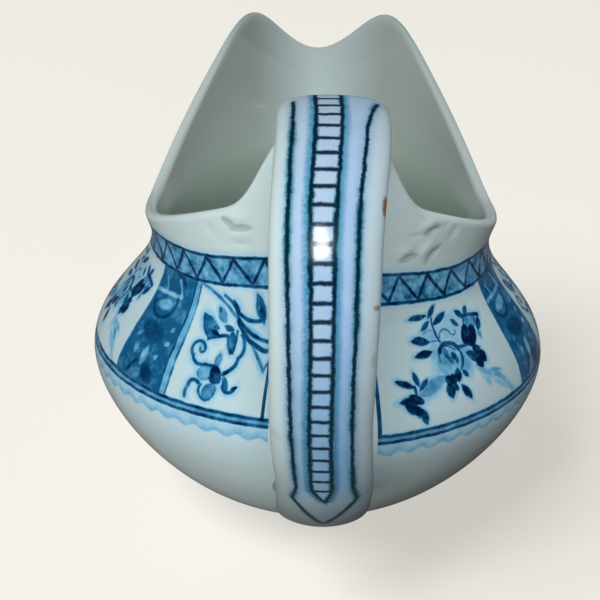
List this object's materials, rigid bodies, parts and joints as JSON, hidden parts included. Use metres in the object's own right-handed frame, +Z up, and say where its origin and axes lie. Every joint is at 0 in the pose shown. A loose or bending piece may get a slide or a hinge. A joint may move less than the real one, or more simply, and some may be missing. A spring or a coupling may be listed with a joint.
{
  "type": "cream jug",
  "caption": "Small rounded jug with a tall pulled spout, a flat strap handle from the rim to the lower belly and a low foot ring, for pouring cream or milk.",
  "frame": {"origin": "centre of the foot ring on the table plane", "axes": "+Z up, +Y from the handle towards the pouring lip, +X to the right as seen from behind the handle"},
  "size_m": [0.087, 0.1199, 0.0905],
  "materials": {
    "glazed_body": "clear gloss glaze over white porcelain with blue underglaze print",
    "glazed_handle": "clear gloss glaze over white porcelain with a blue ladder print",
    "glazed_slip": "clear gloss glaze over white slip",
    "bare_foot": "glazed sides, wiped bare on the standing band"
  },
  "bodies": {
    "root": {"body": "glazed_body", "foot_ring": "bare_foot", "handle": "glazed_handle", "upper_lute": "glazed_slip", "lower_lute": "glazed_slip"}
  },
  "joints": []
}
